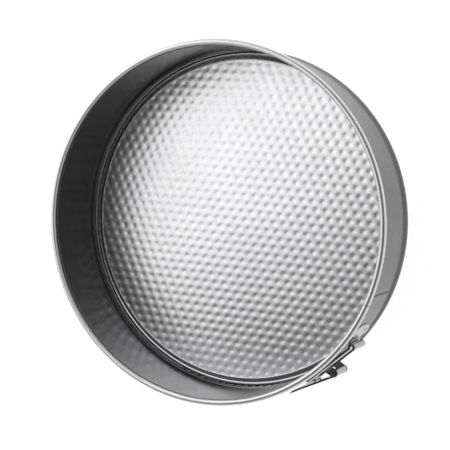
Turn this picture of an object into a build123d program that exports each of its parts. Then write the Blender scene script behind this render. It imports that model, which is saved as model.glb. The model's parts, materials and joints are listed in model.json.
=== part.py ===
from build123d import *
import math
import os

# Hoop: one strip of sheet bent into a ring. Radii are to the middle of the sheet unless the name says otherwise.
hoop_height = 70.0
wall_radius = 130.3
hoop_sheet = 0.5
bead_radius = 2.1
bead_turn = 288.0
groove_depth = 1.45
groove_bend_radius = 2.4
groove_flat = 1.0
groove_blend_height = 8.4
lip_reach = 2.1

# Seam, where the two ends of the strip meet, and the tongue that carries on behind the catch.
# A reach is measured along the wall from the clasp's middle, positive towards the seam.
seam_reach = 46.94
seam_gap = 0.4
tongue_reach = 12.3
tongue_clearance = 0.1
tongue_margin = 1.2
tongue_corner_radius = 4.0
joggle_length = 3.5

# Loose base.
base_sheet = 0.5
base_wall_clearance = 0.3
base_lip_clearance = 0.3
base_edge_radius = 1.0
base_edge_hole_radius = 0.45
base_edge_turn = 262.0
base_ring_width = 3.1
base_step_width = 1.1
base_rise = 2.25
base_bend_radius = 0.6

# Clasp, placed by the reach of its three pivots and their distance from the metal below them.
clasp_azimuth = -45.0
clasp_height = 35.0
catch_reach = 10.25
catch_lift = 4.65
hinge_reach = -12.08
hinge_lift = 9.85
seat_reach = -32.22
seat_lift = 4.55
clasp_seat_gap = 0.05

# Wire bail. It clears the pin's heads by the leg play and the catch barrel's ends by the side play.
wire_radius = 1.3
bail_leg_play = 0.38
bail_side_play = 0.4
bail_bend_radius = 2.6
bail_butt_gap = 0.6

# Catch plate: wide and round-ended on the tongue, narrower at its curled barrel.
catch_sheet = 0.8
catch_barrel_play = 0.65
catch_barrel_turn = 300.0
catch_neck_lift = 32.0
catch_neck_radius = 1.6
catch_shoulder_reach = 4.6
catch_shoulder_width = 6.7
catch_shoulder_round_share = 0.3
catch_end_reach = 26.2
catch_end_radius = 34.0
catch_corner_radius = 4.0
catch_corner_share = 0.8

# Hinge pin.
pin_radius = 1.5
pin_head_radius = 2.2
pin_head_height = 0.5
pin_head_gap = 0.02
pin_hole_clearance = 0.02
pin_running_clearance = 0.08

# Lever, with the curled tongue that the bail's far bar sits in.
lever_sheet = 1.2
lever_width = 20.8
lever_barrel_turn = 268.0
lever_tail = 15.0
lever_tip_radius = 8.0
lever_tip_turn = 14.0
lever_tip_length = 2.5
lever_corner_radius = 5.0
seat_width = 12.0
seat_window_margin = 0.6
seat_play = 0.2
seat_hole_clearance = 0.8
seat_wrap_below = 60.0

# Bracket with two ears that lean forward from their feet to the pin.
ear_sheet = 1.2
ear_play = 0.2
ear_head_radius = 3.0
ear_foot_half_length = 3.4
ear_lean = 3.2
bracket_sheet = 1.0
bracket_start_reach = -5.92
bracket_end_reach = -26.0
bracket_corner_radius = 3.0

# Rivets.
rivet_shank_radius = 1.1
rivet_head_radius = 2.1
rivet_head_height = 0.9
rivet_hole_clearance = 0.03
catch_rivet_reach = 19.2
catch_rivet_margin = 4.5
bracket_rivet_reach = -20.6
bracket_rivet_spacing = 13.0

# Worked out from the sizes above.
groove_radius = wall_radius + groove_depth
lip_inner_radius = wall_radius - lip_reach
bead_level = hoop_height - bead_radius - hoop_sheet / 2
groove_top = hoop_sheet / 2 + groove_bend_radius + groove_flat
wall_foot = groove_top + groove_blend_height
wall_outer_radius = wall_radius + hoop_sheet / 2
wall_inner_radius = wall_radius - hoop_sheet / 2
tongue_inner_radius = wall_outer_radius + tongue_clearance
tongue_outer_radius = tongue_inner_radius + hoop_sheet
catch_radius = tongue_outer_radius + catch_lift
hinge_radius = wall_outer_radius + hinge_lift
seat_radius = wall_outer_radius + seat_lift
ear_inner_height = lever_width / 2 + ear_play
ear_outer_height = ear_inner_height + ear_sheet
bail_inner_width = 2 * (ear_outer_height + pin_head_gap + pin_head_height + bail_leg_play)
bail_leg_height = bail_inner_width / 2 + wire_radius
catch_width = bail_inner_width - 2 * bail_side_play
catch_plate_width = catch_width + 2 * catch_shoulder_width
catch_rivet_spacing = catch_plate_width - 2 * catch_rivet_margin
lever_barrel_radius = pin_radius + pin_running_clearance + lever_sheet / 2
seat_curl_radius = wire_radius + seat_hole_clearance + lever_sheet / 2
catch_barrel_radius = wire_radius + catch_barrel_play + catch_sheet / 2

# The clasp is drawn seen from below: across is along the wall towards the seam, up is outwards.
clasp_plane = Plane(origin=(0, 0, clasp_height), x_dir=(0, 1, 0), z_dir=(0, 0, -1))


def on_clasp(reach, radius):
    """Point of the clasp drawing at a reach along the wall and a radius of the tin."""
    turn = reach / wall_outer_radius
    return Vector(radius * math.sin(turn), radius * math.cos(turn))


catch_point = on_clasp(catch_reach, catch_radius)
hinge_point = on_clasp(hinge_reach, hinge_radius)
seat_point = on_clasp(seat_reach, seat_radius)


def degrees_of(length, radius):
    """Angle that a length takes on a circle."""
    return math.degrees(length / radius)


def azimuth_of(reach):
    """Azimuth on the tin of a reach along the wall."""
    return clasp_azimuth + degrees_of(reach, wall_outer_radius)


def heading(angle):
    """Unit vector of a direction in a drawing."""
    return Vector(math.cos(math.radians(angle)), math.sin(math.radians(angle)))


def bent_strip(start, angle, moves, sheet):
    """Section of bent sheet along a path of runs and tangent bends, positive bends to the left."""
    half = sheet / 2
    point = Vector(start)
    sides = {1: [], -1: []}
    for bend, size in moves:
        left = heading(angle + 90)
        if bend == 0:
            after = point + heading(angle) * size
            for side in sides:
                sides[side].append(Line(point + left * (half * side), after + left * (half * side)))
            point = after
            continue
        turn = math.copysign(1, bend)
        centre = point + left * (size * turn)
        for side in sides:
            radius = size - half * side * turn
            sides[side].append(CenterArc(centre, radius, angle - 90 * turn, bend))
        angle += bend
        point = centre - heading(angle + 90) * (size * turn)
    ends = [Line(sides[1][0] @ 0, sides[-1][0] @ 0), Line(sides[1][-1] @ 1, sides[-1][-1] @ 1)]
    return make_face([*sides[1], *sides[-1], *ends])


def thick(section, width):
    """Extrude a clasp drawing to a width, centred on the clasp's height."""
    return extrude(clasp_plane * section, amount=width / 2, both=True)


def onto_tin(shape):
    """Turn a piece of the clasp to its azimuth on the tin."""
    return Rotation(0, 0, clasp_azimuth) * shape


def ring_sector(inner, outer, low, high, from_azimuth, to_azimuth):
    """Sector of a ring between two azimuths and two heights."""
    section = Pos((inner + outer) / 2, (low + high) / 2) * Rectangle(outer - inner, high - low)
    body = revolve(Plane.XZ * section, Axis.Z, revolution_arc=to_azimuth - from_azimuth)
    return Rotation(0, 0, from_azimuth) * body


def rivet(azimuth, level, base_radius, foot_radius):
    """Rivet with a domed head on a radius of the tin and its shank down to another."""
    shank_length = base_radius - foot_radius
    dome = (rivet_head_radius ** 2 + rivet_head_height ** 2) / (2 * rivet_head_height)
    ball = Pos(0, 0, rivet_head_height - dome) * Sphere(dome)
    head = ball & Cylinder(rivet_head_radius, rivet_head_height, align=(Align.CENTER, Align.CENTER, Align.MIN))
    shank = Cylinder(rivet_shank_radius, shank_length, align=(Align.CENTER, Align.CENTER, Align.MAX))
    place = Rotation(0, 0, azimuth) * Pos(base_radius, 0, level) * Rotation(0, 90, 0)
    return place * (head + shank)


def rivet_places(reach, spacing):
    """Azimuth and height of an upper and a lower rivet."""
    return [(azimuth_of(reach), clasp_height + side * spacing / 2) for side in (1, -1)]


def catch_rivet_places():
    """Places of the catch plate's two rivets."""
    return rivet_places(catch_rivet_reach, catch_rivet_spacing)


def bracket_rivet_places():
    """Places of the bracket's two rivets."""
    return rivet_places(bracket_rivet_reach, bracket_rivet_spacing)


def rivet_hole(azimuth, level):
    """Cutter for a rivet's hole, through whatever lies outside the tin's wall."""
    radius = rivet_shank_radius + rivet_hole_clearance
    hole = Cylinder(radius, hoop_height)
    return Rotation(0, 0, azimuth) * Pos(wall_outer_radius, 0, level) * Rotation(0, 90, 0) * hole


def make_hoop_band():
    """Strip with its rolled rim, groove and lip, open at the seam, and the tongue past it."""
    lip = groove_radius - groove_bend_radius - lip_inner_radius
    shift = groove_radius - wall_radius
    lean = 2 * math.degrees(math.atan2(shift, groove_blend_height))
    blend = groove_blend_height / (2 * math.sin(math.radians(lean)))
    moves = [
        (0, lip),
        (90, groove_bend_radius),
        (0, groove_flat),
        (lean, blend),
        (-lean, blend),
        (0, bead_level - wall_foot),
        (-bead_turn, bead_radius),
    ]
    section = bent_strip((lip_inner_radius, hoop_sheet / 2), 0, moves, hoop_sheet)
    gap = degrees_of(seam_gap, wall_radius)
    ring = revolve(Plane.XZ * section, Axis.Z, revolution_arc=360 - gap)
    band = Rotation(0, 0, azimuth_of(seam_reach) + gap / 2) * ring
    for azimuth, level in bracket_rivet_places():
        band -= rivet_hole(azimuth, level)
    return band + make_tongue()


def make_tongue():
    """Tongue of the outer end, one sheet further out, with rounded free corners and the catch's rivet holes."""
    low = wall_foot + tongue_margin
    high = bead_level - bead_radius - hoop_sheet / 2 - tongue_margin
    root = azimuth_of(seam_reach) + degrees_of(seam_gap, wall_radius) / 2
    tongue_end = azimuth_of(tongue_reach)
    joggle_end = root + degrees_of(joggle_length, wall_radius)
    free = ring_sector(tongue_inner_radius, tongue_outer_radius, low, high, tongue_end, joggle_end)
    corners = free.edges().filter_by(GeomType.LINE).group_by(Edge.length)[0]
    tip = corners.filter_by(lambda edge: is_at_azimuth(edge, tongue_end))
    free = fillet(tip, tongue_corner_radius)
    for azimuth, level in catch_rivet_places():
        free -= rivet_hole(azimuth, level)
    joggle = ring_sector(wall_radius, tongue_outer_radius, low, high, root, joggle_end)
    return free + joggle


def is_at_azimuth(edge, azimuth):
    """Tell whether an edge lies at an azimuth of the tin."""
    middle = edge.center()
    return math.isclose(math.degrees(math.atan2(middle.Y, middle.X)), azimuth, abs_tol=1)


def make_base_plate():
    """Plateau, sloping step and ring with a rolled edge."""
    edge = base_edge_radius
    curl = (edge + base_edge_hole_radius) / 2
    curl_sheet = edge - base_edge_hole_radius
    outer = wall_inner_radius - base_wall_clearance
    centre = Vector(outer - edge, hoop_sheet + base_lip_clearance + edge)
    section = bent_strip(centre + Vector(0, curl), 0, [(-base_edge_turn, curl)], curl_sheet)
    slope = math.degrees(math.atan2(base_rise, base_step_width))
    trim = base_bend_radius * math.tan(math.radians(slope / 2))
    step = math.hypot(base_rise, base_step_width) - 2 * trim
    inner = centre.X - base_ring_width - base_step_width - trim
    moves = [
        (0, base_ring_width - trim),
        (-slope, base_bend_radius),
        (0, step),
        (slope, base_bend_radius),
        (0, inner),
    ]
    top = centre.Y + edge - base_sheet / 2
    section += bent_strip((centre.X, top), 180, moves, base_sheet)
    return revolve(Plane.XZ * section, Axis.Z)


def make_catch_plate():
    """Plate on the tongue, with a neck that rises to the curled barrel."""
    plate_radius = tongue_outer_radius + clasp_seat_gap + catch_sheet / 2
    start = on_clasp(catch_end_reach, plate_radius)
    end_turn = degrees_of(catch_end_reach, wall_outer_radius)
    neck_angle = 180 - catch_neck_lift
    inward = heading(neck_angle - 90)
    touch = catch_point - inward * catch_barrel_radius
    back = heading(neck_angle + 180)
    along = touch.dot(back)
    rise = -along - math.sqrt(along ** 2 - touch.dot(touch) + plate_radius ** 2)
    corner = touch + back * rise
    corner_turn = math.degrees(math.atan2(corner.X, corner.Y))
    bend = neck_angle - (180 - corner_turn)
    trim = catch_neck_radius * math.tan(math.radians(abs(bend) / 2))
    turn = end_turn - corner_turn - degrees_of(trim, plate_radius)
    moves = [
        (turn, plate_radius),
        (neck_angle - (180 - end_turn) - turn, catch_neck_radius),
        (0, rise - trim),
        (-catch_barrel_turn, catch_barrel_radius),
    ]
    plate = thick(bent_strip(start, 180 - end_turn, moves, catch_sheet), catch_plate_width)
    plate = onto_tin(plate & across_block(catch_outline(start.X)))
    for azimuth, level in catch_rivet_places():
        plate -= rivet_hole(azimuth, level)
    return plate


def catch_outline(end):
    """Front outline of the catch plate: narrow at the barrel, wide with a round end on the tongue."""
    shoulder = catch_point.X + catch_shoulder_reach
    low = catch_point.X - catch_radius
    middle = end - catch_end_radius
    side = middle + math.sqrt(catch_end_radius ** 2 - (catch_plate_width / 2) ** 2) - shoulder
    wide = Pos((shoulder + end) / 2, 0) * Rectangle(end - shoulder, catch_plate_width)
    wide &= Pos(middle, 0) * Rotation(0, 0, 180) * Circle(catch_end_radius)
    outline = wide + Pos((low + shoulder) / 2, 0) * Rectangle(shoulder - low, catch_width)
    round_off = catch_shoulder_round_share * min(catch_shoulder_width, side)
    outline = fillet(outline.vertices().group_by(Axis.X)[-2], round_off)
    corner = min(catch_corner_radius, catch_corner_share * side)
    return fillet(outline.vertices().group_by(Axis.X)[-1], corner)


def across_block(outline):
    """Block outwards through the clasp with a front outline."""
    front = Plane(origin=(0, 0, clasp_height), x_dir=(0, 1, 0), z_dir=(1, 0, 0))
    return extrude(front * outline, amount=2 * hinge_radius)


def make_bail():
    """Closed loop of wire with its two ends butting inside the catch barrel."""
    along = seat_point - catch_point
    reach = along.length
    side = bail_leg_height
    butt = bail_butt_gap / 2
    points = [(0, butt), (0, side), (reach, side), (reach, -side), (0, -side), (0, -butt)]
    path = FilletPolyline(*points, radius=bail_bend_radius)
    loop_plane = Plane(
        origin=(catch_point.Y, catch_point.X, clasp_height),
        x_dir=(along.Y, along.X, 0),
        z_dir=(-along.X, along.Y, 0),
    )
    wire = loop_plane * path
    start = Plane(origin=wire @ 0, z_dir=wire % 0)
    return onto_tin(sweep(start * Circle(wire_radius), path=wire))


def seat_centre():
    """Centre of the seat's curl: the far bar's place moved towards the hinge by the slack.

    The slack is what the bar moves in the seat as the lever passes its dead point, with some play.
    """
    arm = hinge_point - seat_point
    dead_reach = (hinge_point - catch_point).length + arm.length
    stretch = dead_reach - (seat_point - catch_point).length
    return seat_point + arm.normalized() * (stretch + seat_play - seat_hole_clearance)


def lever_line():
    """Straight part of the lever, tangent to the seat's curl and to the barrel: its heading and its two ends."""
    centre = seat_centre()
    across = hinge_point - centre
    lean = math.asin((seat_curl_radius - lever_barrel_radius) / across.length)
    slope = math.degrees(math.atan2(across.Y, across.X) - lean)
    outward = heading(slope + 90)
    return slope, centre + outward * seat_curl_radius, hinge_point + outward * lever_barrel_radius


def make_lever():
    """Strip with its hinge barrel, the bail's seat and the finger tip."""
    slope, over_seat, over_hinge = lever_line()
    moves = [
        (0, (over_hinge - over_seat).length + lever_tail),
        (-lever_tip_turn, lever_tip_radius),
        (0, lever_tip_length),
    ]
    strip = bent_strip(over_hinge, slope + 180, moves, lever_sheet)
    barrel = bent_strip(over_hinge, slope, [(-lever_barrel_turn, lever_barrel_radius)], lever_sheet)
    wrap = slope + 90 + seat_wrap_below
    seat_curl = bent_strip(over_seat, slope, [(-wrap, seat_curl_radius)], lever_sheet)
    opening = Vector(over_seat.X + lever_sheet / 2 * math.sin(math.radians(slope)), over_seat.Y)
    cut_end = over_seat + heading(slope) * (math.radians(wrap) * seat_curl_radius)
    tip = min(vertex.X for vertex in strip.vertices())
    body = thick(strip, lever_width) & across_block(lever_outline(tip))
    body -= across_block(lever_window(opening.X, cut_end.X))
    body += thick(barrel, lever_width)
    body += thick(seat_curl, seat_width)
    return onto_tin(body)


def lever_outline(tip):
    """Front outline of the lever with two rounded corners at its tip."""
    high = hinge_point.X + hinge_radius
    outline = Pos((tip + high) / 2, 0) * Rectangle(high - tip, lever_width)
    return fillet(outline.vertices().group_by(Axis.X)[0], lever_corner_radius)


def lever_window(start, end):
    """Window that the seat's tongue leaves in the lever."""
    return Pos((start + end) / 2, 0) * Rectangle(end - start, seat_width + 2 * seat_window_margin)


def make_hinge_pin():
    """Pin through both ears with a flat head at each end."""
    inner = ear_outer_height + pin_head_gap
    pin = Cylinder(pin_radius, 2 * inner)
    head = Cylinder(pin_head_radius, pin_head_height, align=(Align.CENTER, Align.CENTER, Align.MIN))
    pin += Pos(0, 0, inner) * head
    pin += Pos(0, 0, -inner - pin_head_height) * head
    return onto_tin(Pos(hinge_point.Y, hinge_point.X, clasp_height) * pin)


def ear_section():
    """Outline of an ear: a wide foot on the bracket's plate and a round head about the pin."""
    plate_top = wall_outer_radius + clasp_seat_gap + bracket_sheet / 2
    left = on_clasp(hinge_reach - ear_lean - ear_foot_half_length, plate_top)
    right = on_clasp(hinge_reach - ear_lean + ear_foot_half_length, plate_top)
    head = Pos(hinge_point) * Circle(ear_head_radius)
    foot = make_face(Polyline(left, right, *head_corners(), close=True))
    hole = Pos(hinge_point) * Circle(pin_radius + pin_hole_clearance)
    return foot + head - hole


def head_corners():
    """Points where the ear's straight sides meet its round head."""
    side = Vector(ear_head_radius, 0)
    return hinge_point + side, hinge_point - side


def make_lever_bracket():
    """Curved plate on the wall with an ear turned out at its top and its bottom."""
    inner = wall_outer_radius + clasp_seat_gap
    outer = inner + bracket_sheet
    low = clasp_height - ear_outer_height
    high = clasp_height + ear_outer_height
    end = azimuth_of(bracket_end_reach)
    plate = ring_sector(inner, outer, low, high, end, azimuth_of(bracket_start_reach))
    corners = plate.edges().filter_by(GeomType.LINE).group_by(Edge.length)[0]
    far = corners.filter_by(lambda edge: is_at_azimuth(edge, end))
    plate = fillet(far, bracket_corner_radius)
    ear = extrude(clasp_plane * ear_section(), amount=ear_sheet / 2, both=True)
    ear_level = ear_inner_height + ear_sheet / 2
    plate += onto_tin(Pos(0, 0, ear_level) * ear)
    plate += onto_tin(Pos(0, 0, -ear_level) * ear)
    for azimuth, level in bracket_rivet_places():
        plate -= rivet_hole(azimuth, level)
    return plate


def make_bracket_rivets():
    """The two rivets, flush with the inside of the wall so that the base can pass."""
    seat = wall_outer_radius + 2 * clasp_seat_gap + bracket_sheet
    foot = wall_inner_radius + clasp_seat_gap
    return [rivet(azimuth, level, seat, foot) for azimuth, level in bracket_rivet_places()]


def make_catch_rivets():
    """The two rivets of the catch plate, flush with the inside of the tongue."""
    seat = tongue_outer_radius + 2 * clasp_seat_gap + catch_sheet
    foot = tongue_inner_radius + clasp_seat_gap
    return [rivet(azimuth, level, seat, foot) for azimuth, level in catch_rivet_places()]


bracket_upper, bracket_lower = make_bracket_rivets()
catch_upper, catch_lower = make_catch_rivets()
nodes = {
    "hoop_band": make_hoop_band(),
    "base_plate": make_base_plate(),
    "catch_plate": make_catch_plate(),
    "catch_rivet_upper": catch_upper,
    "catch_rivet_lower": catch_lower,
    "bail": make_bail(),
    "lever": make_lever(),
    "hinge_pin": make_hinge_pin(),
    "lever_bracket": make_lever_bracket(),
    "bracket_rivet_upper": bracket_upper,
    "bracket_rivet_lower": bracket_lower,
}

os.makedirs("parts", exist_ok=True)
for name, shape in nodes.items():
    export_step(shape, os.path.join("parts", name + ".step"))
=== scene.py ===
"""Looks of a round springform cake tin: dimpled loose base, rolled hoop and wire clasp."""
import json
import logging
import math
from dataclasses import dataclass, field
from enum import Enum

import bmesh
import bpy
from mathutils import Matrix, Vector

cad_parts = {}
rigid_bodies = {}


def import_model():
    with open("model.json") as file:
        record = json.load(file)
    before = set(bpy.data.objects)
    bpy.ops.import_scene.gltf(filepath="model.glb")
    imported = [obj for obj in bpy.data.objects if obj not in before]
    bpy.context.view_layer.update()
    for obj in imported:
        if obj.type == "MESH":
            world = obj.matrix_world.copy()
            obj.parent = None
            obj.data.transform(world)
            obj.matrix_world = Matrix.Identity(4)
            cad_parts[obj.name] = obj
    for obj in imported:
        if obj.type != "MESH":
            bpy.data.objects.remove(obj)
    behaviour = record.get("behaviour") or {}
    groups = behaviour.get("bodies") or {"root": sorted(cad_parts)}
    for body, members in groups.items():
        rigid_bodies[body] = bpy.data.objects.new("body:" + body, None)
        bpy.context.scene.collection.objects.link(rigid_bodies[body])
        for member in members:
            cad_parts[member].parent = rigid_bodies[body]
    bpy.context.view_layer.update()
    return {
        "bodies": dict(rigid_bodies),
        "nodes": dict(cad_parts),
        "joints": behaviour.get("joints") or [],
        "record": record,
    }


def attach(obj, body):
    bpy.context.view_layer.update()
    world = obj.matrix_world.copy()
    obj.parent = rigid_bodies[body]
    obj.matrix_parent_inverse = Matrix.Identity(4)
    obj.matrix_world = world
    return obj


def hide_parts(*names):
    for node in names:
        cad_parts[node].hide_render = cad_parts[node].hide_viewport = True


LOG = logging.getLogger("cake_tin")
MM = 0.001
NUMBER = "NodeSocketFloat"
Tint = tuple[float, float, float]
SectionPoint = tuple[float, float]


class Grain(Enum):
    """Way in which the rolling marks of a sheet run."""

    ROUND_THE_TIN = 0.0
    STRAIGHT = 1.0


class Blend(Enum):
    """Way in which a zone's tint joins the colour below it."""

    COVER = "MIX"
    DARKEN = "MULTIPLY"


class NodeBoard:
    """Small helper that places and links shader nodes on one node tree."""

    def __init__(self, tree: bpy.types.NodeTree) -> None:
        """Keep the tree to work on."""
        self.tree = tree

    def add(self, kind: str, **settings: object) -> bpy.types.Node:
        """Add a node.

        Args:
            kind: Name of the node's type.
            settings: Properties of the node to set.

        Returns:
            The new node.
        """
        node = self.tree.nodes.new(kind)
        for name, value in settings.items():
            setattr(node, name, value)
        return node

    def feed(self, socket: bpy.types.NodeSocket, source: object) -> None:
        """Link a socket to another, or set its value.

        Args:
            socket: Input to fill.
            source: A socket, or the value to set.
        """
        if isinstance(source, bpy.types.NodeSocket):
            self.tree.links.new(source, socket)
        else:
            socket.default_value = source

    def math(
        self, operation: str, first: object, second: object = None, clamp: bool = False
    ) -> bpy.types.NodeSocket:
        """Add a Math node and give its result.

        Args:
            operation: The node's operation.
            first: A socket or a number.
            second: A socket or a number, if the operation takes two.
            clamp: Whether to clamp the result to 0 and 1.

        Returns:
            The result's socket.
        """
        node = self.add("ShaderNodeMath", operation=operation, use_clamp=clamp)
        self.feed(node.inputs[0], first)
        if second is not None:
            self.feed(node.inputs[1], second)
        return node.outputs[0]

    def ramp(self, value: bpy.types.NodeSocket, start: float, gain: float) -> bpy.types.NodeSocket:
        """Give 0 up to a start and rise from there, at most to 1.

        Args:
            value: Value to read.
            start: Value at which the rise starts.
            gain: Slope of the rise.

        Returns:
            The mask's socket.
        """
        return self.math("MULTIPLY", self.math("SUBTRACT", value, start), gain, clamp=True)

    def place(self) -> bpy.types.NodeSocket:
        """Give the place in the piece's own coordinates."""
        return self.add("ShaderNodeTexCoord").outputs["Object"]

    def split(self, vector: bpy.types.NodeSocket) -> list[bpy.types.NodeSocket]:
        """Split a vector into its three parts.

        Args:
            vector: The vector.

        Returns:
            The sockets of X, Y and Z.
        """
        node = self.add("ShaderNodeSeparateXYZ")
        self.feed(node.inputs[0], vector)
        return list(node.outputs)

    def join(self, *parts: bpy.types.NodeSocket) -> bpy.types.NodeSocket:
        """Join three numbers into a vector.

        Args:
            parts: Sockets of X, Y and Z.

        Returns:
            The vector's socket.
        """
        node = self.add("ShaderNodeCombineXYZ")
        for socket, part in zip(node.inputs, parts):
            self.feed(socket, part)
        return node.outputs[0]

    def axis_distance(self, x: bpy.types.NodeSocket, y: bpy.types.NodeSocket) -> bpy.types.NodeSocket:
        """Give the distance from the tin's axis."""
        return self.math("SQRT", self.math("ADD", self.math("MULTIPLY", x, x), self.math("MULTIPLY", y, y)))

    def noise(
        self, vector: bpy.types.NodeSocket, scale: object, detail: float, output: str = "Fac"
    ) -> bpy.types.NodeSocket:
        """Add a noise texture and give one of its results.

        Args:
            vector: Place to read it at.
            scale: Its scale, a socket or a number.
            detail: Its detail.
            output: Name of the result.

        Returns:
            The result's socket.
        """
        node = self.add("ShaderNodeTexNoise")
        node.inputs["Detail"].default_value = detail
        self.feed(node.inputs["Scale"], scale)
        self.feed(node.inputs["Vector"], vector)
        return node.outputs[output]

    def mix_tint(self, blend: Blend, factor: object, below: object, tint: Tint) -> bpy.types.NodeSocket:
        """Lay a tint over a colour.

        Args:
            blend: Way in which the two join.
            factor: How far the tint shows, a socket or a number.
            below: The colour below, a socket or a tint.
            tint: The tint.

        Returns:
            The colour's socket.
        """
        node = self.add("ShaderNodeMix", data_type="RGBA", blend_type=blend.value)
        self.feed(node.inputs["A"], (*below, 1.0) if isinstance(below, tuple) else below)
        node.inputs["B"].default_value = (*tint, 1.0)
        self.feed(node.inputs["Factor"], factor)
        return node.outputs["Result"]


@dataclass
class EffectGroup:
    """Shared shader effect, a node group that is made the first time that a finish asks for it."""

    name: str = ""
    levels: dict[str, float] = field(default_factory=dict)
    results: tuple[str, ...] = ()

    def get(self) -> bpy.types.NodeTree:
        """Give the effect's node group.

        Returns:
            The group.
        """
        return bpy.data.node_groups.get(self.name) or self.build()

    def build(self) -> bpy.types.NodeTree:
        """Make the node group with its sockets, and draw the effect in it.

        Returns:
            The group.
        """
        group = bpy.data.node_groups.new(self.name, "ShaderNodeTree")
        for label, value in self.levels.items():
            group.interface.new_socket(label, in_out="INPUT", socket_type=NUMBER).default_value = value
        for label in self.results:
            group.interface.new_socket(label, in_out="OUTPUT", socket_type=NUMBER)
        entry = group.nodes.new("NodeGroupInput")
        leave = group.nodes.new("NodeGroupOutput")
        board = NodeBoard(group)
        for label, source in self.draw(board, entry.outputs).items():
            board.feed(leave.inputs[label], source)
        return group

    def draw(
        self, board: NodeBoard, levels: bpy.types.NodeOutputs
    ) -> dict[str, bpy.types.NodeSocket]:
        """Draw the effect.

        Args:
            board: Board of the group.
            levels: The group's own inputs.

        Returns:
            The result's socket by name.
        """
        raise NotImplementedError


@dataclass
class RollingMarks(EffectGroup):
    """Fine rolling marks, round the tin's axis or straight along Y, and soft patches."""

    name: str = "rolling_marks"
    levels: dict[str, float] = field(
        default_factory=lambda: {"Fineness": 900.0, "Stretch": 40.0, "Straight": 0.0, "Patch Size": 18.0}
    )
    results: tuple[str, ...] = ("Marks", "Patches")
    round_length: float = 600.0
    straight_length: float = 4000.0
    marks_detail: float = 3.0
    patches_detail: float = 4.0
    patches_roughness: float = 0.6

    def draw(
        self, board: NodeBoard, levels: bpy.types.NodeOutputs
    ) -> dict[str, bpy.types.NodeSocket]:
        """Draw the marks and the patches.

        Args:
            board: Board of the group.
            levels: The group's own inputs.

        Returns:
            The marks' height and the patches' mask.
        """
        fineness, stretch = levels["Fineness"], levels["Stretch"]
        place = board.place()
        x, y, z = board.split(place)
        angle = board.math("ARCTAN2", y, x)
        across = board.math("MULTIPLY", z, fineness)
        depth = board.math("MULTIPLY", board.axis_distance(x, y), fineness)
        turn = board.math("DIVIDE", self.round_length, stretch)
        along = board.math("MULTIPLY", board.math("SINE", angle), turn)
        side = board.math("MULTIPLY", x, fineness)
        length = board.math("MULTIPLY", y, board.math("DIVIDE", self.straight_length, stretch))
        way = board.add("ShaderNodeMix", data_type="VECTOR")
        board.feed(way.inputs["Factor"], levels["Straight"])
        board.feed(way.inputs["A"], board.join(along, across, depth))
        board.feed(way.inputs["B"], board.join(side, length, across))
        marks = board.noise(way.outputs["Result"], 1.0, self.marks_detail)
        patches = board.noise(place, levels["Patch Size"], self.patches_detail)
        patches.node.inputs["Roughness"].default_value = self.patches_roughness
        return {"Marks": marks, "Patches": patches}


@dataclass
class HandlingMarksAndPaintedStreaks(EffectGroup):
    """Hairline scratches and dull spots that handling leaves, and upright streaks that are a painted
    reflection of the dimpled base.
    """

    name: str = "handling_marks_and_painted_streaks"
    levels: dict[str, float] = field(default_factory=lambda: {"Scratch Scale": 60.0, "Spot Scale": 240.0})
    results: tuple[str, ...] = ("Scratches", "Spots", "Streaks")
    wave_scale: float = 35.0
    wave_detail: float = 2.0
    wave_reach: float = 0.05
    hair_width: float = 0.012
    spot_detail: float = 5.0
    spot_start: float = 0.55
    spot_gain: float = 6.0
    streak_scale: tuple[float, float, float] = (230.0, 230.0, 9.0)
    streak_detail: float = 3.0
    streak_start: float = 0.45
    streak_gain: float = 4.0

    def draw(
        self, board: NodeBoard, levels: bpy.types.NodeOutputs
    ) -> dict[str, bpy.types.NodeSocket]:
        """Draw the scratches, spots and streaks.

        Args:
            board: Board of the group.
            levels: The group's own inputs.

        Returns:
            The scratches' height, the mask of dull spots and the mask of the painted reflection streaks.
        """
        place = board.place()
        bend = board.add("ShaderNodeVectorMath", operation="MULTIPLY_ADD")
        board.feed(bend.inputs[0], board.noise(place, self.wave_scale, self.wave_detail, "Color"))
        bend.inputs[1].default_value = (self.wave_reach, self.wave_reach, self.wave_reach)
        board.feed(bend.inputs[2], place)
        hair = board.add("ShaderNodeTexVoronoi", feature="DISTANCE_TO_EDGE")
        board.feed(hair.inputs["Scale"], levels["Scratch Scale"])
        board.feed(hair.inputs["Vector"], bend.outputs[0])
        spots = board.noise(place, levels["Spot Scale"], self.spot_detail)
        # Upright streaks: a painted reflection of the dimpled base in the hoop's wall, not a mark of
        # handling.
        upright = board.add("ShaderNodeMapping")
        upright.inputs["Scale"].default_value = self.streak_scale
        board.feed(upright.inputs["Vector"], place)
        painted_reflection = board.noise(upright.outputs["Vector"], 1.0, self.streak_detail)
        return {
            "Scratches": board.math("LESS_THAN", hair.outputs["Distance"], self.hair_width),
            "Spots": board.ramp(spots, self.spot_start, self.spot_gain),
            "Streaks": board.ramp(painted_reflection, self.streak_start, self.streak_gain),
        }


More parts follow.
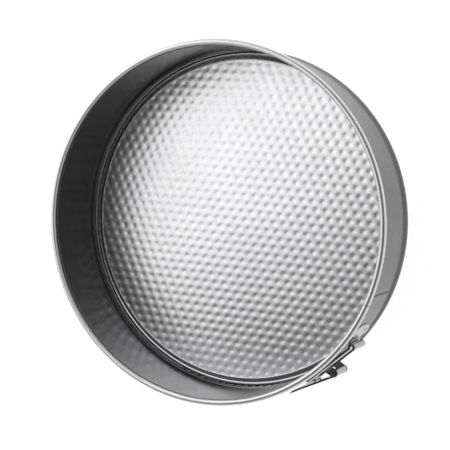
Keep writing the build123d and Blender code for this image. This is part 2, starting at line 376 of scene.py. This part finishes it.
@dataclass
class HoopZones(EffectGroup):
    """Masks of the hoop's outer face below the rim, where shade is painted, of its rim, where a highlight
    is painted, and of the crease inside under it, where shade is painted.
    """

    name: str = "hoop_zones"
    levels: dict[str, float] = field(
        default_factory=lambda: {"Rim Level": 65.3 * MM, "Crease Level": 67.0 * MM}
    )
    results: tuple[str, ...] = ("Outside Shade", "Rim Highlight", "Crease Shade")
    groove_level: float = 3.65 * MM
    groove_middle: float = 131.75 * MM
    wall_level: float = 12.05 * MM
    wall_middle: float = 130.3 * MM
    crease_shade_reach: float = 2.5
    crease_shade_fade: float = 0.6 * MM

    def draw(
        self, board: NodeBoard, levels: bpy.types.NodeOutputs
    ) -> dict[str, bpy.types.NodeSocket]:
        """Tell the faces apart by height and by the middle of the sheet.

        Args:
            board: Board of the group.
            levels: The group's own inputs.

        Returns:
            The three masks.
        """
        x, y, z = board.split(board.place())
        middle = board.add("ShaderNodeMapRange", interpolation_type="SMOOTHSTEP")
        middle.inputs["From Min"].default_value = self.groove_level
        middle.inputs["From Max"].default_value = self.wall_level
        middle.inputs["To Min"].default_value = self.groove_middle
        middle.inputs["To Max"].default_value = self.wall_middle
        board.feed(middle.inputs["Value"], z)
        # The outer face below the rim gets painted shade.
        beyond = board.math("GREATER_THAN", board.axis_distance(x, y), middle.outputs["Result"])
        # The rim above this level gets a painted highlight.
        rim = board.math("GREATER_THAN", z, levels["Rim Level"])
        # The crease inside under the rim gets a band of painted shade.
        gap = board.math("ABSOLUTE", board.math("SUBTRACT", z, levels["Crease Level"]))
        shares = board.math("DIVIDE", gap, self.crease_shade_fade)
        band = board.math("SUBTRACT", self.crease_shade_reach, shares, clamp=True)
        return {
            "Outside Shade": board.math("MULTIPLY", beyond, board.math("SUBTRACT", 1.0, rim)),
            "Rim Highlight": rim,
            "Crease Shade": board.math("MULTIPLY", band, board.math("SUBTRACT", 1.0, beyond)),
        }


@dataclass
class BaseZones(EffectGroup):
    """Mask of the base's edge beyond its dimpled plateau, which is burnished and darkened with painted
    shade.
    """

    name: str = "base_zones"
    levels: dict[str, float] = field(default_factory=lambda: {"Edge Radius": 123.9 * MM})
    results: tuple[str, ...] = ("Edge Polish And Shade",)
    gain: float = 3000.0

    def draw(
        self, board: NodeBoard, levels: bpy.types.NodeOutputs
    ) -> dict[str, bpy.types.NodeSocket]:
        """Tell the edge by its distance from the axis.

        Args:
            board: Board of the group.
            levels: The group's own inputs.

        Returns:
            The mask.
        """
        x, y, _ = board.split(board.place())
        return {"Edge Polish And Shade": board.ramp(board.axis_distance(x, y), levels["Edge Radius"], self.gain)}


@dataclass(frozen=True)
class ZoneLook:
    """How one zone of a piece differs from the rest of it."""

    mask: str
    tint: Tint
    blend: Blend = Blend.DARKEN
    roughness: float = 0.0


@dataclass(frozen=True)
class MetalFinish:
    """Rolled or drawn metal with marks along its grain, patches, scratches, dull spots, and streaks that
    are a painted reflection.
    """

    name: str
    color: Tint
    dark_color: Tint
    roughness: float
    roughness_spread: float
    marks_depth: float
    fineness: float
    grain: Grain = Grain.ROUND_THE_TIN
    # Strength of the painted reflection streaks in the colour.
    streaks: float = 0.0
    zone_masks: EffectGroup | None = None
    zones: tuple[ZoneLook, ...] = ()
    spots_in_color: float = 0.25
    spots_in_roughness: float = 0.5
    scratch_depth: float = 0.004 * MM

    def material(self) -> bpy.types.Material:
        """Build the finish as a material.

        Returns:
            The material.
        """
        material = bpy.data.materials.new(self.name)
        material.use_nodes = True
        board = NodeBoard(material.node_tree)
        shader = material.node_tree.nodes["Principled BSDF"]
        shader.inputs["Metallic"].default_value = 1.0
        marks = board.add("ShaderNodeGroup", node_tree=RollingMarks().get())
        marks.inputs["Fineness"].default_value = self.fineness
        marks.inputs["Straight"].default_value = self.grain.value
        wear_and_painted_reflection = board.add("ShaderNodeGroup", node_tree=HandlingMarksAndPaintedStreaks().get())
        color, rough = self.worn_metal_and_painted_streaks(board, marks.outputs, wear_and_painted_reflection.outputs)
        if self.zone_masks:
            masks = board.add("ShaderNodeGroup", node_tree=self.zone_masks.get())
            # Zone tints lay painted shade and painted highlights into the colour; the zones' roughness
            # changes are the metal's own.
            for zone in self.zones:
                mask = masks.outputs[zone.mask]
                color = board.mix_tint(zone.blend, mask, color, zone.tint)
                rough = board.math("ADD", rough, board.math("MULTIPLY", mask, zone.roughness))
        board.feed(shader.inputs["Base Color"], color)
        board.feed(shader.inputs["Roughness"], rough)
        board.feed(shader.inputs["Normal"], self.relief(board, marks.outputs, wear_and_painted_reflection.outputs))
        return material

    def worn_metal_and_painted_streaks(
        self, board: NodeBoard, marks: bpy.types.NodeOutputs, wear_and_painted_reflection: bpy.types.NodeOutputs
    ) -> tuple[bpy.types.NodeSocket, bpy.types.NodeSocket]:
        """Colour the metal, with dull spots and painted reflection streaks, and set its roughness.

        Args:
            board: Board of the material.
            marks: Results of the rolling marks.
            wear_and_painted_reflection: Results of the handling marks and of the painted reflection
                streaks.

        Returns:
            The colour and the roughness.
        """
        shade = board.math("MULTIPLY", marks["Marks"], marks["Patches"])
        # Painted reflection: the upright streaks darken the colour, beside the real dull spots.
        painted_reflection = board.math("MULTIPLY", wear_and_painted_reflection["Streaks"], self.streaks)
        worn_and_painted = board.math("ADD", board.math("MULTIPLY", wear_and_painted_reflection["Spots"], self.spots_in_color), painted_reflection)
        factor = board.math("ADD", shade, worn_and_painted, clamp=True)
        color = board.mix_tint(Blend.COVER, factor, self.color, self.dark_color)
        spread = board.math("MULTIPLY", marks["Patches"], self.roughness_spread)
        dull = board.math("MULTIPLY", wear_and_painted_reflection["Spots"], self.roughness_spread * self.spots_in_roughness)
        return color, board.math("ADD", board.math("ADD", spread, dull), self.roughness)

    def relief(
        self, board: NodeBoard, marks: bpy.types.NodeOutputs, wear_and_painted_reflection: bpy.types.NodeOutputs
    ) -> bpy.types.NodeSocket:
        """Raise the rolling marks and cut the scratches.

        Args:
            board: Board of the material.
            marks: Results of the rolling marks.
            wear_and_painted_reflection: Results of the handling marks and of the painted reflection
                streaks.

        Returns:
            The normal.
        """
        grain = board.add("ShaderNodeBump")
        grain.inputs["Distance"].default_value = self.marks_depth
        board.feed(grain.inputs["Height"], marks["Marks"])
        scratch = board.add("ShaderNodeBump", invert=True)
        scratch.inputs["Distance"].default_value = self.scratch_depth
        board.feed(scratch.inputs["Height"], wear_and_painted_reflection["Scratches"])
        board.feed(scratch.inputs["Normal"], grain.outputs["Normal"])
        return scratch.outputs["Normal"]


HOOP_FINISH = MetalFinish(
    name="bright_strip",
    color=(0.27, 0.27, 0.275),
    dark_color=(0.14, 0.14, 0.145),
    roughness=0.14,
    roughness_spread=0.06,
    marks_depth=0.004 * MM,
    fineness=900.0,
    # Painted reflection streaks of the dimpled base on the wall.
    streaks=0.24,
    zone_masks=HoopZones(),
    zones=(
        # Outer face darkened: painted shade, as if it reflected the tin's shadow on the floor.
        ZoneLook("Outside Shade", (0.40, 0.40, 0.40), roughness=0.10),
        # Rim lightened: painted highlight on the rolled bead.
        ZoneLook("Rim Highlight", (0.66, 0.66, 0.665), Blend.COVER, roughness=0.26),
        # Crease darkened: painted shade in the crease under the rim.
        ZoneLook("Crease Shade", (0.30, 0.30, 0.30)),
    ),
)
BASE_FINISH = MetalFinish(
    name="dimpled_tinplate",
    color=(0.74, 0.74, 0.75),
    dark_color=(0.62, 0.62, 0.63),
    roughness=0.32,
    roughness_spread=0.08,
    marks_depth=0.003 * MM,
    fineness=500.0,
    grain=Grain.STRAIGHT,
    zone_masks=BaseZones(),
    # Edge: smoother because burnished, and darker as painted shade on the crest, cone and hem.
    zones=(ZoneLook("Edge Polish And Shade", (0.64, 0.64, 0.64), roughness=-0.20),),
)
WIRE_FINISH = MetalFinish(
    name="drawn_wire",
    color=(0.74, 0.74, 0.75),
    dark_color=(0.55, 0.55, 0.56),
    roughness=0.14,
    roughness_spread=0.10,
    marks_depth=0.004 * MM,
    fineness=1500.0,
)
CLASP_FINISH = MetalFinish(
    name="pressed_steel",
    color=(0.42, 0.42, 0.425),
    dark_color=(0.24, 0.24, 0.245),
    roughness=0.14,
    roughness_spread=0.14,
    marks_depth=0.006 * MM,
    fineness=1100.0,
    grain=Grain.STRAIGHT,
)
FIXING_FINISH = MetalFinish(
    name="rivet_steel",
    color=(0.60, 0.60, 0.61),
    dark_color=(0.42, 0.42, 0.43),
    roughness=0.22,
    roughness_spread=0.14,
    marks_depth=0.006 * MM,
    fineness=1400.0,
)


@dataclass
class DimpledBase:
    """Loose base: a dimpled plateau with a raised crest, a cone and a rolled hem."""

    sheet: float = 0.5 * MM
    plateau_top: float = 5.05 * MM
    plateau_radius: float = 123.6 * MM
    dimples_full_radius: float = 123.1 * MM
    dimples_end_radius: float = 123.9 * MM
    under_full_radius: float = 117.0 * MM
    under_end_radius: float = 122.0 * MM
    crest_centre: SectionPoint = (124.3 * MM, 4.65 * MM)
    crest_radius: float = 0.75 * MM
    crest_start: float = 148.0
    crest_end: float = 52.0
    cone_foot: SectionPoint = (127.45 * MM, 3.15 * MM)
    valley: SectionPoint = (127.75 * MM, 2.93 * MM)
    hem_centre: SectionPoint = (128.75 * MM, 2.3 * MM)
    hem_radius: float = 1.0 * MM
    hem_start: float = 140.0
    hem_end: float = -150.0
    arc_steps: int = 10
    dent_depth: float = 0.32 * MM
    dent_spread: float = 1.45 * MM
    dent_origin: tuple[float, float] = (2.65 * MM, -0.63 * MM)
    row_pitch: tuple[float, float] = (2.76 * MM, -6.647 * MM)
    row_step: tuple[float, float] = (5.238 * MM, 6.099 * MM)
    steps_per_pitch: int = 8
    under_steps_per_pitch: int = 3
    ring_steps: int = 540
    grid_margin_share: float = 0.45
    ring_gap_share: float = 0.15
    weld: float = 0.00001 * MM
    finish: MetalFinish = BASE_FINISH
    name: str = "dimpled_base"

    @property
    def middle(self) -> float:
        """Height of the middle of the plateau's sheet."""
        return self.plateau_top - self.sheet / 2

    def dent(self, x: float, y: float) -> float:
        """Depth of the dimples at a point.

        Args:
            x: Place along X.
            y: Place along Y.

        Returns:
            Depth below the plateau, in metres.
        """
        ax, ay = self.row_pitch
        bx, by = self.row_step
        px, py = x - self.dent_origin[0], y - self.dent_origin[1]
        scale = ax * by - ay * bx
        first = (px * by - py * bx) / scale
        second = (ax * py - ay * px) / scale
        depth = 0.0
        for i in (math.floor(first), math.floor(first) + 1):
            for j in (math.floor(second), math.floor(second) + 1):
                away = (px - i * ax - j * bx) ** 2 + (py - i * ay - j * by) ** 2
                depth += math.exp(-away / (2 * self.dent_spread ** 2))
        return self.dent_depth * depth

    def press_dimples(self, bm: bmesh.types.BMesh) -> None:
        """Push the dimples into the plateau, fading out at its edge, and sooner on its underside.

        Args:
            bm: Mesh of the whole base.
        """
        for vert in bm.verts:
            below = vert.co.z < self.middle
            full = self.under_full_radius if below else self.dimples_full_radius
            end = self.under_end_radius if below else self.dimples_end_radius
            radius = math.hypot(vert.co.x, vert.co.y)
            fade = min(1.0, max(0.0, (end - radius) / (end - full)))
            if fade > 0.0:
                vert.co.z -= self.dent(vert.co.x, vert.co.y) * fade

    def squares(self, bm: bmesh.types.BMesh, level: float, steps: int) -> set[bmesh.types.BMFace]:
        """Add a grid that follows the dimples' rows, cut back to the plateau.

        Args:
            bm: Mesh to add to.
            level: Height of the grid.
            steps: Squares to each row of dimples.

        Returns:
            Its faces.
        """
        pitch = math.hypot(*self.row_pitch)
        size = pitch / steps
        count = int(2 * (self.plateau_radius + pitch) / size)
        turn = math.atan2(self.row_pitch[1], self.row_pitch[0])
        place = Matrix.Translation((*self.dent_origin, level)) @ Matrix.Rotation(turn, 4, "Z")
        made = bmesh.ops.create_grid(
            bm, x_segments=count, y_segments=count, size=count * size / 2, matrix=place
        )
        reach = self.plateau_radius - size * self.grid_margin_share
        kept, outside = [], []
        for vert in made["verts"]:
            (outside if math.hypot(vert.co.x, vert.co.y) > reach else kept).append(vert)
        bmesh.ops.delete(bm, geom=outside, context="VERTS")
        lonely = [vert for vert in kept if vert.is_valid and len(vert.link_faces) == 0]
        bmesh.ops.delete(bm, geom=lonely, context="VERTS")
        return {face for vert in kept if vert.is_valid for face in vert.link_faces}

    def disc(
        self, bm: bmesh.types.BMesh, level: float, steps: int, faces_up: bool
    ) -> list[bmesh.types.BMEdge]:
        """Add one side of the plateau, with a round rim.

        Args:
            bm: Mesh to add to.
            level: Height of the sheet.
            steps: Squares to each row of dimples.
            faces_up: Whether the sheet faces up.

        Returns:
            The edges of its rim, which lies on a true circle.
        """
        faces = self.squares(bm, level, steps)
        rim = [edge for edge in {e for f in faces for e in f.edges} if edge.is_boundary]
        grown = bmesh.ops.extrude_edge_only(bm, edges=rim)["geom"]
        for item in grown:
            if isinstance(item, bmesh.types.BMVert):
                scale = self.plateau_radius / math.hypot(item.co.x, item.co.y)
                item.co.x *= scale
                item.co.y *= scale
            elif isinstance(item, bmesh.types.BMFace):
                faces.add(item)
        bmesh.ops.recalc_face_normals(bm, faces=list(faces))
        if (next(iter(faces)).normal.z > 0) != faces_up:
            bmesh.ops.reverse_faces(bm, faces=list(faces))
        return [item for item in grown if isinstance(item, bmesh.types.BMEdge) and item.is_boundary]

    def arc(self, centre: SectionPoint, radius: float, start: float, end: float) -> list[SectionPoint]:
        """Walk along an arc of the edge's outline.

        Args:
            centre: Its centre, as radius and height.
            radius: Its radius.
            start: Angle to start at, in degrees from outwards.
            end: Angle to end at.

        Returns:
            Points as radius and height.
        """
        points = []
        for step in range(self.arc_steps + 1):
            angle = math.radians(start + (end - start) * step / self.arc_steps)
            points.append((centre[0] + radius * math.cos(angle), centre[1] + radius * math.sin(angle)))
        return points

    def edge_profile(self) -> list[SectionPoint]:
        """Outline of the crest, cone and hem, from the plateau's top side round to its underside.

        Returns:
            Points as radius and height.
        """
        top, sheet = self.plateau_top, self.sheet
        start = self.plateau_radius + sheet * self.ring_gap_share
        crest_turns = (self.crest_start, self.crest_end)
        hem_turns = (self.hem_start, self.hem_end)
        points = [(start, top)]
        points += self.arc(self.crest_centre, self.crest_radius, *crest_turns)
        points += [self.cone_foot, self.valley]
        points += self.arc(self.hem_centre, self.hem_radius, *hem_turns)
        points += self.arc(self.hem_centre, self.hem_radius - sheet, *reversed(hem_turns))
        points += [(radius, height - sheet) for radius, height in (self.valley, self.cone_foot)]
        points += self.arc(self.crest_centre, self.crest_radius - sheet, *reversed(crest_turns))
        points.append((start, top - sheet))
        return points

    def edge_ring(self, bm: bmesh.types.BMesh) -> list[bmesh.types.BMEdge]:
        """Spin the edge's outline round the tin's axis.

        Args:
            bm: Mesh to add to.

        Returns:
            The ring's two open rims.
        """
        verts = [bm.verts.new((radius, 0.0, height)) for radius, height in self.edge_profile()]
        edges = [bm.edges.new(pair) for pair in zip(verts, verts[1:])]
        bmesh.ops.spin(
            bm,
            geom=verts + edges,
            axis=(0.0, 0.0, 1.0),
            cent=(0.0, 0.0, 0.0),
            angle=math.tau,
            steps=self.ring_steps,
            use_merge=True,
        )
        faces = {face for vert in verts for face in vert.link_faces}
        grown = set(faces)
        while faces:
            faces = {other for face in faces for edge in face.edges for other in edge.link_faces} - grown
            grown |= faces
        bmesh.ops.recalc_face_normals(bm, faces=list(grown))
        return [edge for face in grown for edge in face.edges if edge.is_boundary]

    def press(self) -> bmesh.types.BMesh:
        """Join the plateau's two sides with the edge and press the dimples.

        Returns:
            The base's closed mesh.
        """
        bm = bmesh.new()
        top = self.disc(bm, self.plateau_top, self.steps_per_pitch, True)
        under = self.disc(bm, self.plateau_top - self.sheet, self.under_steps_per_pitch, False)
        rims = self.edge_ring(bm)
        for disc_rim, above in ((top, True), (under, False)):
            near = [edge for edge in rims if (edge.verts[0].co.z > self.middle) == above]
            bmesh.ops.triangle_fill(bm, edges=disc_rim + near, use_beauty=True, normal=(0.0, 0.0, 1.0))
        bmesh.ops.remove_doubles(bm, verts=bm.verts, dist=self.weld)
        bmesh.ops.recalc_face_normals(bm, faces=bm.faces)
        self.press_dimples(bm)
        for face in bm.faces:
            face.smooth = True
        return bm

    def build(self) -> bpy.types.Object:
        """Make the base and let it stand for the plain one.

        Returns:
            The finished piece.
        """
        bm = self.press()
        LOG.info("%s: %d triangles", self.name, sum(len(face.verts) - 2 for face in bm.faces))
        mesh = bpy.data.meshes.new(self.name)
        bm.to_mesh(mesh)
        bm.free()
        piece = bpy.data.objects.new(self.name, mesh)
        bpy.context.scene.collection.objects.link(piece)
        mesh.materials.append(self.finish.material())
        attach(piece, "base")
        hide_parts("base_plate")
        return piece


@dataclass
class SheetMetalParts:
    """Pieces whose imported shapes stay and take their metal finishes."""

    finishes: dict[str, MetalFinish] = field(
        default_factory=lambda: {
            "hoop_band": HOOP_FINISH,
            "catch_plate": CLASP_FINISH,
            "lever": CLASP_FINISH,
            "lever_bracket": CLASP_FINISH,
            "bail": WIRE_FINISH,
            "hinge_pin": FIXING_FINISH,
            "catch_rivet_upper": FIXING_FINISH,
            "catch_rivet_lower": FIXING_FINISH,
            "bracket_rivet_upper": FIXING_FINISH,
            "bracket_rivet_lower": FIXING_FINISH,
        }
    )

    def dress(self, frame: dict) -> None:
        """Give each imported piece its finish.

        Args:
            frame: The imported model.
        """
        made: dict[str, bpy.types.Material] = {}
        for node, finish in self.finishes.items():
            if finish.name not in made:
                made[finish.name] = finish.material()
            for slot in frame["nodes"][node].material_slots:
                slot.material = made[finish.name]
            LOG.info("%s: %s", node, finish.name)


@dataclass
class SoftBox:
    """Round soft box that faces the tin: angles in degrees, lengths in metres, power in watts."""

    name: str = "key"
    azimuth: float = 151.0
    elevation: float = 52.0
    away: float = 0.62
    size: float = 0.78
    power: float = 2.4

    def build(self) -> None:
        """Hang the box."""
        light = bpy.data.lights.new(self.name, "AREA")
        light.shape = "DISK"
        light.size = self.size
        light.energy = self.power
        lamp = bpy.data.objects.new(self.name, light)
        turn, lift = math.radians(self.azimuth), math.radians(self.elevation)
        way = Vector((math.cos(lift) * math.cos(turn), math.cos(lift) * math.sin(turn), math.sin(lift)))
        lamp.location = way * self.away
        lamp.rotation_euler = way.to_track_quat("Z", "Y").to_euler()
        bpy.context.scene.collection.objects.link(lamp)


@dataclass
class PaleFloor:
    """Floor that is pale to the camera and to reflections and keeps the tin's shadow."""

    size: float = 24.0
    level: float = -0.2 * MM
    color: Tint = (0.92, 0.92, 0.92)
    roughness: float = 0.9
    lift: float = 0.8

    def build(self) -> None:
        """Lay the floor."""
        bm = bmesh.new()
        bmesh.ops.create_grid(bm, x_segments=1, y_segments=1, size=self.size / 2)
        mesh = bpy.data.meshes.new("floor")
        bm.to_mesh(mesh)
        bm.free()
        floor = bpy.data.objects.new("floor", mesh)
        floor.location.z = self.level
        bpy.context.scene.collection.objects.link(floor)
        mesh.materials.append(self.material())

    def material(self) -> bpy.types.Material:
        """Build the floor's material.

        Returns:
            The material.
        """
        material = bpy.data.materials.new("pale_floor")
        material.use_nodes = True
        board = NodeBoard(material.node_tree)
        shader = material.node_tree.nodes["Principled BSDF"]
        shader.inputs["Base Color"].default_value = (*self.color, 1.0)
        shader.inputs["Roughness"].default_value = self.roughness
        shader.inputs["Specular IOR Level"].default_value = 0.0
        shader.inputs["Emission Color"].default_value = (1.0, 1.0, 1.0, 1.0)
        rays = board.add("ShaderNodeLightPath")
        seen = board.math("MAXIMUM", rays.outputs["Is Camera Ray"], rays.outputs["Is Glossy Ray"])
        seen = board.math("MAXIMUM", seen, rays.outputs["Is Transmission Ray"])
        board.feed(shader.inputs["Emission Strength"], board.math("MULTIPLY", seen, self.lift))
        return material


@dataclass
class Room:
    """Room that lights the tin from a pale horizon up to a dim ceiling."""

    low: Tint = (0.92, 0.92, 0.92)
    high: Tint = (0.01, 0.01, 0.01)
    ceiling_start: float = 0.35
    ceiling_end: float = 0.75

    def build(self) -> None:
        """Make the room the scene's world."""
        world = bpy.data.worlds.new("studio_room")
        bpy.context.scene.world = world
        world.use_nodes = True
        board = NodeBoard(world.node_tree)
        _, _, height = board.split(board.add("ShaderNodeTexCoord").outputs["Generated"])
        rise = board.add("ShaderNodeMapRange", interpolation_type="SMOOTHSTEP")
        rise.inputs["From Min"].default_value = self.ceiling_start
        rise.inputs["From Max"].default_value = self.ceiling_end
        board.feed(rise.inputs["Value"], height)
        color = board.mix_tint(Blend.COVER, rise.outputs["Result"], self.low, self.high)
        board.feed(world.node_tree.nodes["Background"].inputs["Color"], color)


@dataclass
class PhotoCamera:
    """Camera that stands where the photograph was taken from."""

    place: tuple[float, float, float] = (0.3769, 0.0467, 0.8971)
    right: tuple[float, float, float] = (0.91572, 0.0, -0.4018)
    up: tuple[float, float, float] = (-0.02111, 0.99862, -0.0481)
    back: tuple[float, float, float] = (0.40127, 0.05253, 0.9144)
    focal_length: float = 99.5
    sensor_width: float = 36.0

    def build(self) -> None:
        """Stand the camera and make it the scene's own."""
        lens = bpy.data.cameras.new("camera")
        lens.lens = self.focal_length
        lens.sensor_width = self.sensor_width
        camera = bpy.data.objects.new("camera", lens)
        axes = Matrix((self.right, self.up, self.back)).transposed()
        camera.matrix_world = Matrix.Translation(self.place) @ axes.to_4x4()
        bpy.context.scene.collection.objects.link(camera)
        bpy.context.scene.camera = camera


@dataclass
class Studio:
    """Pale floor, plain room, one soft box and the camera."""

    floor: PaleFloor = field(default_factory=PaleFloor)
    room: Room = field(default_factory=Room)
    key: SoftBox = field(default_factory=SoftBox)
    camera: PhotoCamera = field(default_factory=PhotoCamera)

    def build(self) -> None:
        """Make the floor, the room, the light and the camera."""
        for item in (self.floor, self.room, self.key, self.camera):
            item.build()
        bpy.context.scene.view_settings.view_transform = "Standard"


def main() -> None:
    """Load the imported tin, dress it and light it."""
    logging.basicConfig(level=logging.INFO, format="%(name)s: %(message)s")
    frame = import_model()
    Studio().build()
    SheetMetalParts().dress(frame)
    base = DimpledBase().build()
    LOG.info("%s: %s", base.name, BASE_FINISH.name)


if __name__ == "__main__":
    main()
